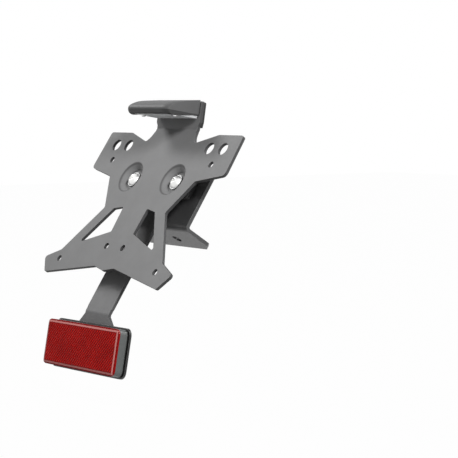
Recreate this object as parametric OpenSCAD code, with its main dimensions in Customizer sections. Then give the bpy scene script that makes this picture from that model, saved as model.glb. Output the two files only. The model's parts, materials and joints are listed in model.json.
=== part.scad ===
// Number-plate holder for the rear of a motorcycle: a folded sheet plate with two pressed recesses,
// a plate lamp on its upper flap, a reflector on a hanging strip and an adapter for the carrying arm.
// The origin is the middle of the two arm bolts, on the face that the arm sits on.
// +X is the right side seen from behind, -Y is the rear and +Z is up.

/* [Plate sheet] */
// Thickness of the plate's sheet
sheet_t = 2.5; // [2:0.5:5]
// Lean of the plate from upright, its top towards the front
plate_lean = 33.2; // [20:0.2:45]
// Inside radius of the fold between the plate and its flap
fold_r = 3; // [2:0.5:5]
// Depth of the small nicks at the ends of a fold
fold_nick = 0.3; // [0.2:0.1:1]
// Radius of the small outline corners
corner_r = 2.5; // [1:0.5:3]

/* [Plate outline] */
// Half the width across the wings at their lower corners
wing_half = 93.8; // [88:0.2:100]
// Height of the wings' top edge above the recess line
wing_top = 42; // [38:1:46]
// Height of the wings' lower corner above the recess line
wing_low = 6.4; // [3:0.2:9]
// Radius of the wings' lower corners
wing_low_r = 4; // [2:0.5:6]
// Half the width between the shoulders beside the neck
shoulder_half = 61; // [56:1:66]
// Radius of the shoulders beside the neck
shoulder_r = 12; // [6:1:16]
// Half the width between the bottoms of the two neck notches
notch_half = 34.5; // [33:0.5:38]
// Height of the notch bottoms above the recess line
notch_y = 33.8; // [31:0.2:36]
// Radius of the neck notches
notch_r = 3.5; // [2:0.5:4]
// Radius between a notch and the neck's side
neck_r = 14; // [6:1:14]
// Half the width of the neck at its fold
neck_half = 28.8; // [26:0.2:31]
// Height of the fold above the recess line
fold_y = 46.5; // [44:0.5:50]
// Half the width of the waist below the wings
waist_half = 60.6; // [56:0.2:65]
// Half the width of the column below the waist
column_half = 43.5; // [40:0.5:47]
// Depth of the column's narrowest place below the recess line
column_y = 29.7; // [27:0.1:32]
// Half the width across the tips of the lower arms
tip_half = 92.6; // [86:0.2:98]
// Depth of the upper corner of an arm tip below the recess line
tip_y = 80.4; // [76:0.2:84]
// Inward run of the end edge of an arm tip
tip_in = 10.9; // [8:0.1:14]
// Drop of the end edge of an arm tip
tip_drop = 13.3; // [10:0.1:16]
// Half the width of the raised step in the middle of the bottom edge
tab_half = 14.1; // [10:0.1:20]
// Depth of the bottom edge's middle below the recess line
apex_y = 85.3; // [82:0.1:89]
// Rise of the raised step's ends above the bottom edge's middle
tab_rise = 3; // [1:0.5:4]

/* [Windows] */
// Distance of a window's inner side from the middle
window_in = 16.5; // [14:0.5:20]
// Depth of a window's top edge below the recess line
window_top = 28; // [25:0.5:31]
// Width of a window along its top edge
window_top_w = 13.2; // [9:0.2:16]
// Height of a window's inner side
window_in_h = 22.8; // [18:0.2:26]
// Distance of a window's outer corner from the middle
window_out = 54.2; // [50:0.2:56]
// Depth of a window's outer corner below the recess line
window_low = 63.7; // [60:0.1:66]
// Radius of the window corners
window_r = 1.5; // [0.5:0.5:2]

/* [Plate holes] */
// Distance between the two holes of each number-plate row
plate_hole_gap = 140; // [130:1:148]
// Diameter of the number-plate holes
plate_hole_d = 5.5; // [4.5:0.1:6.5]
// Height of the upper number-plate holes above the recess line
plate_hole_top = 15.1; // [13:0.1:18]
// Depth of the lower number-plate holes below the recess line
plate_hole_low = 80.2; // [78:0.2:83]
// Distance between the two middle holes
mid_hole_gap = 23.6; // [20:0.2:30]
// Depth of the middle holes below the recess line
mid_hole_y = 63.9; // [61:0.1:67]
// Diameter of the indicator holes
indicator_d = 10.5; // [8:0.5:12]
// Distance of the outer indicator holes from the middle
indicator_out = 75.1; // [73:0.1:79]
// Distance between an outer and an inner indicator hole
indicator_gap = 18; // [15:0.5:20]
// Height of the indicator holes above the recess line
indicator_y = 29.5; // [28:0.5:32]

/* [Recesses] */
// Distance between the two recess centres
recess_gap = 59.8; // [56:0.2:64]
// Radius of a recess at its mouth
recess_r = 13.7; // [12:0.1:15]
// Radius of a recess at its floor
recess_floor_r = 9.2; // [8:0.1:11]
// Depth of a recess
recess_depth = 5; // [4:0.5:7]
// Width of the broken edge round a recess mouth
recess_edge = 0.7; // [0.3:0.1:1.2]

/* [Main screws] */
// Thread diameter of the two main screws
screw_d = 6; // [5:0.5:6]
// Head diameter of the main screws
screw_head_d = 11.5; // [9.5:0.5:12]
// Head height of the main screws
screw_head_h = 3.3; // [2.5:0.1:4]
// Width across the flats of the main screws' hex socket
screw_socket = 4; // [3:0.5:5]
// Clearance round a screw in its hole, on the radius
hole_clear = 0.3; // [0.2:0.05:0.5]
// Clearance of a shank in its nut or washer, on the radius
thread_clear = 0.05; // [0.03:0.01:0.1]
// Width across the flats of the main nuts
nut_flats = 10; // [9:0.5:11]
// Height of the main nuts
nut_h = 6; // [5:0.5:7]
// Outside diameter of the washers of the main screws
washer_d = 13; // [11:0.2:14]
// Thickness of the washers of the main screws
washer_t = 1.2; // [0.8:0.1:1.6]
// Thread that stands out past a nut
thread_past = 1.5; // [0.5:0.5:3]
// Outside diameter of the spacers behind the recesses
spacer_d = 16; // [13:0.5:18]
// Length of the spacers behind the recesses
spacer_l = 6.5; // [5:0.5:9]

/* [Reflector strip] */
// Thickness of the strip
strip_t = 2.5; // [2:0.5:3]
// Width of the strip
strip_w = 34.4; // [30:0.2:36]
// Depth of the strip's fold below the recess line
strip_fold_y = 115.5; // [108:0.5:122]
// Inside radius of the strip's fold
strip_fold_r = 3; // [2:0.5:5]
// Lean of the strip's lower flange from upright
reflector_lean = 11; // [5:1:18]
// Height of the strip's cross head
head_h = 24; // [20:1:28]
// Distance of the cross head's ends beyond the screw centres
head_over = 10; // [8:0.5:12]
// Distance of the reflector's centre below the fold
reflector_drop = 27; // [25:0.5:32]
// Width of the flange behind the reflector
flange_w = 50; // [44:1:80]
// Height of the flange behind the reflector
flange_h = 32; // [28:1:33]

/* [Adapter] */
// Thickness of the adapter's sheet
adapter_t = 3; // [2.5:0.5:5]
// Inside radius of the adapter's fold
adapter_fold_r = 1.5; // [1:0.5:3]
// Reach of the adapter to the right of the middle
adapter_right = 54; // [54:0.5:62]
// Reach of the adapter to the left of the middle
adapter_left = 42; // [39:0.5:44]
// Height of the adapter's top edge above the recess line
adapter_top = 15; // [12:0.5:20]
// Depth of the adapter's underside below the recess line
adapter_low = 34.5; // [32:0.5:37]
// Depth of the arm seat, front to back
seat_depth = 28.5; // [26:0.5:32]
// Width of the cut corners at the back of the arm seat
seat_cut = 7; // [4:0.5:9]
// Distance between the two arm bolts
arm_bolt_gap = 44; // [38:1:48]
// Diameter of the arm bolt holes
arm_bolt_d = 8.4; // [6.4:0.1:9]
// Distance of the arm bolts from the back edge of the seat
arm_bolt_in = 13.5; // [12:0.5:15]

/* [Lamp flap] */
// Lean of the lamp flap from upright
flap_lean = 9; // [3:1:15]
// Height of the flap above its fold
flap_h = 22; // [21:0.5:26]
// Half the width of the flap at its top
flap_half = 30.2; // [29:0.2:33]
// Radius of the flap's top corners
flap_r = 1.5; // [0.5:0.5:3]

/* [Lamp] */
// Width of the lamp
lamp_w = 58; // [54:1:60]
// Depth of the lamp from its gasket to its nose
lamp_depth = 32; // [29:1:36]
// Height of the lamp's rim above the fold
lamp_low = 10; // [9:0.5:11]
// Height of the lamp at its back
lamp_h = 12.8; // [12:0.2:14]
// Slope of the lamp's top
lamp_slope = 10.5; // [8:0.5:12]
// Radius of the lamp's nose
nose_r = 4.2; // [3:0.2:5]
// Radius under the lamp's nose
nose_low_r = 3.2; // [2:0.2:4]
// Radius of the lamp's rear corners seen from above
lamp_corner_r = 3; // [2:0.5:12]
// Wall of the lamp housing
lamp_wall = 1.8; // [1.5:0.1:2]
// Back wall of the lamp housing
lamp_back_wall = 2.5; // [2:0.1:3]
// Thickness of the backing plate behind the flap
backing_t = 2; // [1.5:0.1:3]
// Thickness of the gasket behind the lamp
gasket_t = 1; // [0.6:0.1:1.5]
// Thickness of the clear lens below the rim
lens_t = 2.2; // [1.8:0.1:2.6]
// Step of the lens in from the housing's side
lens_step = 0.8; // [0.4:0.1:1.2]
// Clearance between the lens lip and the housing
lens_gap = 0.15; // [0.1:0.05:0.3]
// Height of the lens lip inside the housing
lip_h = 1.4; // [1:0.2:1.8]
// Distance between the lamp's two fixing screws
lamp_screw_gap = 38; // [34:1:40]
// Height of the lamp's fixing screws above its rim
lamp_screw_up = 6.6; // [6:0.2:7]
// Thread diameter of the lamp's fixing screws
lamp_screw_d = 4; // [3:0.5:4]
// Depth of the fixing screws in the lamp
lamp_screw_in = 6; // [5:0.5:7]
// Diameter of the cable hole in the lamp's back
cable_d = 6; // [5:0.5:6]
// Length of the circuit board
board_l = 38; // [34:1:40]
// Width of the circuit board
board_w = 15; // [13:0.5:16]
// Thickness of the circuit board
board_t = 1.2; // [1:0.1:1.6]
// Distance between neighbouring light-emitting diodes
led_gap = 12; // [10:0.5:14]
// Side of a light-emitting diode
led_side = 5; // [3:0.5:5]
// Height of a light-emitting diode
led_h = 1.4; // [1:0.1:1.6]

/* [Reflector] */
// Width of the reflector
reflector_w = 104; // [98:1:110]
// Height of the reflector
reflector_h = 36.2; // [34:0.2:40]
// Turn of the reflector on its stud
reflector_turn = 1.3; // [0:0.1:3]
// Radius of the reflector's corners
reflector_r = 4.5; // [2:0.5:5]
// Thickness of the reflector's base plate
base_t = 1.8; // [1.5:0.1:2.5]
// Overhang of the base plate round the housing
base_over = 1.5; // [1:0.1:2]
// Thickness of the seal between base plate and housing
seal_t = 1; // [0.6:0.1:1.4]
// Step of the seal in from the housing's side
seal_step = 0.8; // [0.5:0.1:1.2]
// Depth of the reflector housing
tray_h = 6.5; // [5:0.5:8]
// Wall of the reflector housing
tray_wall = 1.6; // [1.2:0.1:2]
// Height of the lens edge above the housing
edge_h = 1.2; // [0.8:0.1:1.6]
// Height of the lens bevel
bevel_h = 0.8; // [0.4:0.1:1.2]
// Width of the lens bevel
bevel_w = 2.6; // [1.5:0.1:3.5]
// Clearance of the lens block in the housing
block_gap = 0.2; // [0.1:0.05:0.4]
// Thread diameter of the reflector's stud
stud_d = 5; // [4:0.5:5]

/* [Hidden] */
$fn = 48;
eps = 0.01;
arc_steps = 6;
land = 1;

// Stations of the stack along the plate's outward normal, from its front face at zero
recess_back = -recess_depth - sheet_t;
strip_front = recess_back - spacer_l;
strip_back = strip_front - strip_t;
adapter_back = strip_back - adapter_t;
seat_back = adapter_back - seat_depth;
arm_bolt_z = seat_back + arm_bolt_in;
seat_y = -adapter_low + adapter_t;
head_z = -recess_depth + washer_t;
screw_l = head_z - adapter_back + washer_t + nut_h + thread_past;

// The plate's fold and the flap that follows it
fold_turn = plate_lean - flap_lean;
fold_start = fold_y - fold_r * tan(fold_turn / 2);

// The strip's fold and the flange that follows it
strip_turn = plate_lean - reflector_lean;
strip_arc_r = strip_fold_r + strip_t;
flange_l = reflector_drop + flange_h / 2;
strip_fold_start = -strip_fold_y + strip_arc_r * tan(strip_turn / 2);

// The adapter's fold
adapter_arc_r = adapter_fold_r + adapter_t;

// Levels and stations of the lamp in the flap's frame
lamp_back = gasket_t;
flap_back = sheet_t + backing_t;
lamp_front = lamp_back + lamp_depth;
lamp_top = lamp_low + lamp_h;
lamp_screw_y = lamp_low + lamp_screw_up;
lamp_cavity = lamp_back + lamp_back_wall;
lamp_mouth = lamp_front - nose_low_r - lamp_wall;
boss_d = lamp_screw_d + 3;
boss_end = lamp_back + lamp_screw_in + 1;
board_z = boss_end + 1 + board_w / 2;
board_y = lamp_low + lip_h + led_h + 0.3;
lens_screw_d = 2.5;
lens_screw_l = 7;
lip_w = 1.2;
lip_in = lamp_wall + lens_gap;
stake_x = board_l / 2 - 2.5;
stake_d = 2;
stake_h = 0.8;
gasket_in = 0.6;
lens_screw_x = board_l / 2 + 4;
lens_screw_z = board_z + 2;
pillar_d = 6;
small_washer_t = 0.8;
small_washer_d = 9;
small_head_h = 2.2;
small_head_d = 7.6;
grommet_flange = 1.2;
grommet_wall = 1.5;
grommet_gap = 0.05;
grommet_neck = 5;

// Levels of the reflector in the flange's frame
seal_z = base_t;
tray_z = seal_z + seal_t;
lens_z = tray_z + tray_h;
block_h = tray_h - tray_wall - 0.4;
stud_nut_h = 5;
stud_flats = 8;
stud_washer_t = 1;
stud_washer_d = 10;
stud_past = 1.5;
stud_head_t = 1;
stud_head_d = 11;
stud_l = strip_t + stud_washer_t + stud_nut_h + stud_past;

// Points of an arc of radius r round c, from angle a to angle b
function arc(c, r, a, b) = [for (i = [0:arc_steps]) let (t = a + (b - a) * i / arc_steps)
    c + r * [cos(t), sin(t)]];
function unit(v) = v / norm(v);
function short_turn(a) = a > 180 ? a - 360 : a < -180 ? a + 360 : a;

// A round of radius r in the corner at p, between the points before and after it
function corner(before, p, after, r) = let (
    u = unit(before - p),
    v = unit(after - p),
    half = acos(u * v) / 2,
    c = p + unit(u + v) * r / sin(half),
    s = p + u * r / tan(half) - c,
    e = p + v * r / tan(half) - c,
    start = atan2(s[1], s[0]))
    arc(c, r, start, start + short_turn(atan2(e[1], e[0]) - start));

// An outline from corners [x, y, radius]
function xy(p) = [p[0], p[1]];
function rounded(p) = let (n = len(p)) [for (i = [0:n - 1])
    each (p[i][2] == 0
        ? [xy(p[i])]
        : corner(xy(p[(i + n - 1) % n]), xy(p[i]), xy(p[(i + 1) % n]), p[i][2]))];

// The mirror image of an outline's right half, in the order that closes it
function mirrored(p) = [for (i = [len(p) - 1:-1:0]) [-p[i][0], p[i][1], p[i][2]]];
function rounded_box(w, h, r) = rounded([[-w / 2, -h / 2, r], [w / 2, -h / 2, r],
    [w / 2, h / 2, r], [-w / 2, h / 2, r]]);

// Frame of the plate: x to the right, y up along it, z out of its front face at the recess line
module on_plate() {
    rotate([90 - plate_lean, 0, 0])
        translate([0, -seat_y, -arm_bolt_z])
            children();
}

// Frame of the lamp flap: y up from the end of the fold, z out of its rear face
module on_flap() {
    on_plate()
        translate([0, fold_start, fold_r])
            rotate([fold_turn, 0, 0])
                translate([0, 0, -fold_r])
                    children();
}

// Frame of the reflector: its origin on the strip's flange behind the reflector's centre
module on_reflector() {
    on_strip_flange()
        translate([0, -reflector_drop, 0])
            rotate([0, 0, reflector_turn])
                children();
}

// Frame of the strip's lower flange: y up to the end of the fold, z out of its rear face
module on_strip_flange() {
    on_plate()
        translate([0, strip_fold_start, strip_front - strip_arc_r])
            rotate([strip_turn, 0, 0])
                translate([0, 0, strip_arc_r])
                    children();
}

// Puts children at the same place on the left and the right
module pair(x) {
    for (s = [-1, 1])
        translate([s * x, 0, 0])
            children();
}

// A sheet between two heights z, from an outline
module sheet(outline, z, t) {
    translate([0, 0, z])
        linear_extrude(t)
            polygon(outline);
}

// A sheet's fold along x: its inner face at z = 0, from y = -land to a length l past the turn
module fold(w, r, t, turn, l) {
    e = [cos(turn), sin(turn)];
    rotate([90, 0, 90])
        linear_extrude(w, center = true)
            polygon(concat(
                [[-land, 0], [-land, -t]],
                arc([0, r], r + t, -90, turn - 90),
                [(r + t) * [e[1], -e[0]] + [0, r] + l * e, r * [e[1], -e[0]] + [0, r] + l * e],
                arc([0, r], r, turn - 90, -90)));
}

// What stands out past an outline, within x of the middle and between two heights y
module trim(outline, x, y0, y1) {
    translate([0, 0, -6])
        linear_extrude(12)
            difference() {
                translate([-x, y0])
                    square([2 * x, y1 - y0]);
                polygon(outline);
            }
}

// A hexagon prism of a width across flats
module hex(flats, h) {
    cylinder(h = h, d = flats / cos(30), $fn = 6);
}

plate_half = [
    [tab_half, -apex_y + tab_rise, corner_r],
    [tip_half - tip_in, -tip_y - tip_drop, corner_r],
    [tip_half, -tip_y, corner_r],
    [tip_half - 19.1, -tip_y + 8.3, corner_r],
    [column_half, -column_y, corner_r],
    [waist_half, -0.5, corner_r],
    [wing_half, wing_low, wing_low_r],
    [wing_half - 1.2, wing_top, corner_r],
    [shoulder_half, wing_top, shoulder_r],
    [notch_half, notch_y, notch_r],
    [neck_half, fold_y - 6, neck_r],
    [neck_half, fold_start, 0]];
plate_outline = concat(plate_half, mirrored(plate_half), [[0, -apex_y, 0]]);
function window(s) = rounded([for (p = window_half) [s * p[0], p[1], p[2]]]);
window_half = [
    [window_in - 0.6, -window_top - window_in_h, window_r],
    [window_out, -window_low, window_r],
    [window_in + window_top_w, -window_top - 2, window_r],
    [window_in + 0.6, -window_top + 0.3, window_r]];

flap_right = [
    [neck_half - fold_nick, -5, 0],
    [neck_half - fold_nick, 2, 0],
    [flap_half, 5, 0],
    [flap_half, flap_h, flap_r]];

backing_right = [
    [neck_half, 1, 0],
    [flap_half - 0.4, 5.5, 0],
    [flap_half - 0.4, flap_h - 0.4, flap_r]];

// One pressed recess, its outside from the sheet's back
module recess_outside() {
    translate([0, 0, recess_back])
        cylinder(h = -recess_back - eps, r1 = recess_floor_r + 2.2, r2 = recess_r + 2.4);
}

// The hollow of one pressed recess with its broken edge and its screw hole
module recess_hollow() {
    translate([0, 0, -recess_depth])
        cylinder(h = recess_depth, r1 = recess_floor_r, r2 = recess_r);
    translate([0, 0, -recess_edge])
        cylinder(h = recess_edge + eps, r1 = recess_r - recess_edge, r2 = recess_r + recess_edge);
    translate([0, 0, recess_back - 1])
        cylinder(h = -recess_back, d = screw_d + 2 * hole_clear);
}

// A through hole of diameter d in the plate at a place in its frame
module plate_hole(x, y, d) {
    translate([x, y, -sheet_t - 1])
        cylinder(h = sheet_t + 2, d = d);
}

module plate_bracket() {
    color([0.47, 0.47, 0.48]) {
        on_plate()
            difference() {
                union() {
                    sheet(rounded(plate_outline), -sheet_t, sheet_t);
                    pair(recess_gap / 2)
                        recess_outside();
                    translate([0, fold_start, 0])
                        fold(2 * flap_half + 2, fold_r, sheet_t, fold_turn, flap_h + 1);
                }
                translate([0, fold_start, fold_r])
                    rotate([fold_turn, 0, 0])
                        translate([0, 0, -fold_r])
                            flap_cuts();
                pair(recess_gap / 2)
                    recess_hollow();
                for (s = [-1, 1]) {
                    sheet(window(s), -sheet_t - 1, sheet_t + 2);
                    plate_hole(s * plate_hole_gap / 2, plate_hole_top, plate_hole_d);
                    plate_hole(s * plate_hole_gap / 2, -plate_hole_low, plate_hole_d);
                    plate_hole(s * mid_hole_gap / 2, -mid_hole_y, plate_hole_d);
                    plate_hole(s * indicator_out, indicator_y, indicator_d);
                    plate_hole(s * (indicator_out - indicator_gap), indicator_y, indicator_d);
                }
            }
    }
}

// What is cut from the flap: its outline, its screw holes and its cable hole
module flap_cuts() {
    trim(rounded(concat(flap_right, mirrored(flap_right))), flap_half + 2, -3.6, flap_h + 2);
    pair(lamp_screw_gap / 2)
        translate([0, lamp_screw_y, -sheet_t - 1])
            cylinder(h = sheet_t + 2, d = lamp_screw_d + 2 * hole_clear);
    translate([0, lamp_screw_y, -sheet_t - 1])
        cylinder(h = sheet_t + 2, d = cable_d + 2 * grommet_wall);
}

// A button-head screw along -z, with the underside of its head at zero
module button_screw(d, l, head_d, head_h, socket) {
    dome_r = (head_d * head_d / 4 + head_h * head_h) / (2 * head_h);
    difference() {
        union() {
            translate([0, 0, -l])
                cylinder(h = l + eps, d = d);
            intersection() {
                cylinder(h = head_h, d = head_d);
                translate([0, 0, head_h - dome_r])
                    sphere(r = dome_r);
            }
        }
        translate([0, 0, head_h * 0.35])
            hex(socket, head_h);
    }
}

module main_screws() {
    color([0.85, 0.85, 0.84])
        on_plate()
            pair(recess_gap / 2)
                translate([0, 0, head_z])
                    button_screw(screw_d, screw_l, screw_head_d, screw_head_h, screw_socket);
}

// A flat ring along z
module ring(outer_d, inner_d, h) {
    difference() {
        cylinder(h = h, d = outer_d);
        translate([0, 0, -1])
            cylinder(h = h + 2, d = inner_d);
    }
}

module recess_spacers() {
    color([0.6, 0.6, 0.62])
        on_plate()
            pair(recess_gap / 2)
                translate([0, 0, strip_front])
                    ring(spacer_d, screw_d + 2 * hole_clear, spacer_l);
}

strip_right = [
    [strip_w / 2, strip_fold_start, 0],
    [strip_w / 2, -head_h / 2, corner_r],
    [recess_gap / 2 + head_over, -head_h / 2 + 4, corner_r],
    [recess_gap / 2 + head_over, head_h / 2, corner_r]];
flange_right = [
    [flange_w / 2, -flange_l, corner_r],
    [flange_w / 2, -9, corner_r],
    [strip_w / 2 - fold_nick, -0.6, 0],
    [strip_w / 2 - fold_nick, 6, 0]];

strip_outline = concat(strip_right, mirrored(strip_right));

module reflector_strip() {
    color([0.45, 0.45, 0.46]) {
        on_plate()
            difference() {
                union() {
                    sheet(rounded(strip_outline), strip_back, strip_t);
                    translate([0, strip_fold_start, strip_back])
                        rotate([180, 0, 0])
                            fold(flange_w + 2, strip_fold_r, strip_t, strip_turn, flange_l + 1);
                }
                translate([0, strip_fold_start, strip_front - strip_arc_r])
                    rotate([strip_turn, 0, 0])
                        translate([0, 0, strip_arc_r])
                            flange_cuts();
                pair(recess_gap / 2)
                    translate([0, 0, strip_back - 1])
                        cylinder(h = strip_t + 2, d = screw_d + 2 * hole_clear);
            }
    }
}

// What is cut from the flange: its outline and the hole for the reflector's stud
module flange_cuts() {
    trim(rounded(concat(flange_right, mirrored(flange_right))), flange_w / 2 + 2, -flange_l - 2, 5);
    translate([0, -reflector_drop, -strip_t - 1])
        cylinder(h = strip_t + 2, d = stud_d + 2 * hole_clear);
}

adapter_face = [
    [-adapter_left + 8, -adapter_low + adapter_arc_r, 0],
    [adapter_right, -adapter_low + adapter_arc_r, 0],
    [adapter_right, adapter_top, corner_r],
    [-adapter_left, adapter_top, corner_r],
    [-adapter_left, -adapter_low + adapter_arc_r + 12, corner_r]];
adapter_seat = [
    [-adapter_left + 8, 0, 0],
    [adapter_right, 0, 0],
    [adapter_right, seat_depth - adapter_fold_r - seat_cut * 0.8, corner_r],
    [adapter_right - seat_cut, seat_depth - adapter_fold_r, corner_r],
    [-adapter_left + 8, seat_depth - adapter_fold_r, corner_r]];

module arm_adapter() {
    face_w = adapter_right + adapter_left - 8;
    color([0.09, 0.09, 0.1])
        on_plate()
            difference() {
                union() {
                    sheet(rounded(adapter_face), adapter_back, adapter_t);
                    translate([adapter_right - face_w / 2, -adapter_low + adapter_arc_r, adapter_back])
                        rotate([180, 0, 0])
                            fold(face_w, adapter_fold_r, adapter_t, 90, land);
                    translate([0, -adapter_low, strip_back - adapter_arc_r])
                        rotate([-90, 0, 0])
                            sheet(rounded(adapter_seat), 0, adapter_t);
                }
                pair(recess_gap / 2)
                    translate([0, 0, adapter_back - 1])
                        cylinder(h = adapter_t + 2, d = screw_d + 2 * hole_clear);
                pair(arm_bolt_gap / 2)
                    translate([0, -adapter_low - 1, arm_bolt_z])
                        rotate([-90, 0, 0])
                            cylinder(h = adapter_t + 2, d = arm_bolt_d);
            }
}

// The washers under the screws' heads and under their nuts
module main_washers() {
    color([0.72, 0.72, 0.7])
        on_plate()
            pair(recess_gap / 2)
                for (z = [-recess_depth, adapter_back - washer_t])
                    translate([0, 0, z])
                        ring(washer_d, screw_d + 2 * thread_clear, washer_t);
}

// A locking nut along -z from its seat: a hexagon and the round collar that holds its insert
module lock_nut(flats, h, bore) {
    difference() {
        union() {
            translate([0, 0, -h * 0.7])
                hex(flats, h * 0.7);
            translate([0, 0, -h])
                cylinder(h = h * 0.4, d = flats * 0.94);
        }
        translate([0, 0, -h - 1])
            cylinder(h = h + 2, d = bore);
    }
}

module main_nuts() {
    color([0.7, 0.7, 0.68])
        on_plate()
            pair(recess_gap / 2)
                translate([0, 0, adapter_back - washer_t])
                    lock_nut(nut_flats, nut_h, screw_d + 2 * thread_clear);
}

// Height of the lamp's top a distance z behind its back, k below its outer face
function lamp_roof(z, k) = lamp_top - k / cos(lamp_slope) - z * tan(lamp_slope);

// Outlines of the lamp from the side: its outer face, and its hollow that is open below
lamp_side = rounded([
    [lamp_back, lamp_low, 0],
    [lamp_back, lamp_roof(0, 0), 0],
    [lamp_front, lamp_roof(lamp_depth, 0), nose_r],
    [lamp_front, lamp_low, nose_low_r]]);
lamp_hollow = rounded([
    [lamp_cavity, lamp_low - 1, 0],
    [lamp_cavity, lamp_roof(lamp_back_wall, lamp_wall), 0],
    [lamp_front - lamp_wall, lamp_roof(lamp_depth - lamp_wall, lamp_wall), nose_r - lamp_wall],
    [lamp_front - lamp_wall, lamp_low + nose_low_r - 1, 0],
    [lamp_mouth, lamp_low + 0.5, 0],
    [lamp_mouth, lamp_low - 1, 0]]);

// The lamp's outline from above: k in from its sides, from z0 back to z1 front
function lamp_plan(k, z0, z1) = rounded([
    [-lamp_w / 2 + k, z0, 0],
    [lamp_w / 2 - k, z0, 0],
    [lamp_w / 2 - k, z1, max(lamp_corner_r - k, 1)],
    [-lamp_w / 2 + k, z1, max(lamp_corner_r - k, 1)]]);

// A slab with an outline of the lamp from above, from a height y down by t
module lamp_slab(outline, y, t) {
    translate([0, y, 0])
        rotate([90, 0, 0])
            linear_extrude(t)
                polygon(outline);
}

// A solid with one outline from the side and one from above
module lamp_form(side, plan) {
    intersection() {
        rotate([0, -90, 0])
            linear_extrude(lamp_w + 2, center = true)
                polygon(side);
        lamp_slab(plan, lamp_top + 1, lamp_h + 4);
    }
}

// The lamp's solid outline, moved half its wall in, that ribs and posts grow into
module lamp_inside() {
    translate([0, -lamp_wall / 2, -lamp_wall / 2])
        lamp_form(lamp_side, lamp_plan(lamp_wall / 2, lamp_back, lamp_front));
}

// A through hole of diameter d in the back of the lamp, at the height of its fixing screws
module back_hole(x, z, t, d) {
    translate([x, lamp_screw_y, z])
        cylinder(h = t, d = d);
}

gasket_outline = rounded_box(lamp_w - 2 * gasket_in, flap_h - lamp_low - 2 * gasket_in, flap_r);

module lamp_gasket() {
    color([0.05, 0.05, 0.05])
        on_flap()
            difference() {
                translate([0, (lamp_low + flap_h) / 2, 0])
                    sheet(gasket_outline, 0, gasket_t);
                for (x = [-lamp_screw_gap / 2, 0, lamp_screw_gap / 2])
                    back_hole(x, -1, gasket_t + 2, x == 0 ? cable_d : lamp_screw_d + 2 * hole_clear);
            }
}

// A post inside the lamp, from a height up to the middle of its top wall
module lamp_post(x, y, z, d) {
    intersection() {
        lamp_inside();
        translate([x, y, z])
            rotate([-90, 0, 0])
                cylinder(h = lamp_h, d = d);
    }
}

// A round pin of diameter d that stands up from a height inside the lamp
module lamp_pin(x, y, z, d, h) {
    translate([x, y, z])
        rotate([-90, 0, 0])
            cylinder(h = h, d = d);
}

module lamp_housing() {
    color([0.17, 0.17, 0.18])
        on_flap()
            difference() {
                union() {
                    difference() {
                        lamp_form(lamp_side, lamp_plan(0, lamp_back, lamp_front));
                        lamp_form(lamp_hollow, lamp_plan(lamp_wall, lamp_cavity, lamp_front - lamp_wall));
                    }
                    pair(lamp_screw_gap / 2)
                        intersection() {
                            lamp_inside();
                            back_hole(0, lamp_back + 1, boss_end - lamp_back - 1, boss_d);
                        }
                    for (s = [-1, 1]) {
                        lamp_post(s * lens_screw_x, lamp_low, lens_screw_z, pillar_d);
                        lamp_post(s * stake_x, board_y + board_t, board_z, 2 * stake_d);
                        lamp_pin(s * stake_x, board_y - stake_h / 2, board_z, stake_d, stake_h + board_t);
                        lamp_pin(s * stake_x, board_y - stake_h, board_z, 1.7 * stake_d, stake_h);
                    }
                }
                for (x = [-lamp_screw_gap / 2, lamp_screw_gap / 2])
                    back_hole(x, lamp_back - 1, lamp_screw_in + 1.5, lamp_screw_d + 2 * thread_clear);
                back_hole(0, lamp_back - 1, lamp_back_wall + 2, cable_d);
                for (s = [-1, 1])
                    lamp_pin(s * lens_screw_x, lamp_low - 1, lens_screw_z, lens_screw_d + 2 * thread_clear,
                        lens_screw_l - lens_t + 1.5);
            }
}

lens_plate = lamp_plan(lens_step, lamp_back + lens_step, lamp_front - nose_low_r);
function lip_plan(k) = lamp_plan(lip_in + k, lamp_cavity + lens_gap + k, lamp_mouth - lens_gap - k);

module lamp_lens() {
    color([0.85, 0.88, 0.9, 0.5])
        on_flap()
            difference() {
                union() {
                    lamp_slab(lens_plate, lamp_low, lens_t);
                    lamp_slab(lip_plan(0), lamp_low + lip_h, lip_h + eps);
                }
                lamp_slab(lip_plan(lip_w), lamp_low + lip_h + 1, lip_h + 1);
                for (s = [-1, 1]) {
                    lamp_pin(s * lens_screw_x, lamp_low, lens_screw_z, pillar_d + 4 * lens_gap, lip_h + 1);
                    lamp_pin(s * lens_screw_x, lamp_low - lens_t - 1, lens_screw_z,
                        lens_screw_d + 2 * hole_clear, lens_t + 2);
                }
            }
}

module lamp_board() {
    color([0.08, 0.3, 0.14])
        on_flap()
            difference() {
                translate([0, board_y + board_t, board_z])
                    rotate([90, 0, 0])
                        linear_extrude(board_t)
                            polygon(rounded_box(board_l, board_w, 1));
                for (s = [-1, 1])
                    lamp_pin(s * stake_x, board_y - 1, board_z, stake_d + 2 * thread_clear, board_t + 2);
            }
}

module lamp_leds() {
    color([0.95, 0.93, 0.8])
        on_flap()
            for (i = [-1:1])
                translate([i * led_gap, board_y - led_h, board_z])
                    rotate([-90, 0, 0])
                        difference() {
                            translate([-led_side / 2, -led_side / 2, 0])
                                cube([led_side, led_side, led_h]);
                            translate([0, 0, -1])
                                cylinder(h = 1.4, d1 = led_side * 0.9, d2 = led_side * 0.7);
                        }
}

module lens_screws() {
    color([0.8, 0.8, 0.8])
        on_flap()
            pair(lens_screw_x)
                translate([0, lamp_low - lens_t, lens_screw_z])
                    rotate([90, 0, 0])
                        button_screw(lens_screw_d, lens_screw_l, 2 * lens_screw_d, 0.6 * lens_screw_d,
                            0.7 * lens_screw_d);
}

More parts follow.
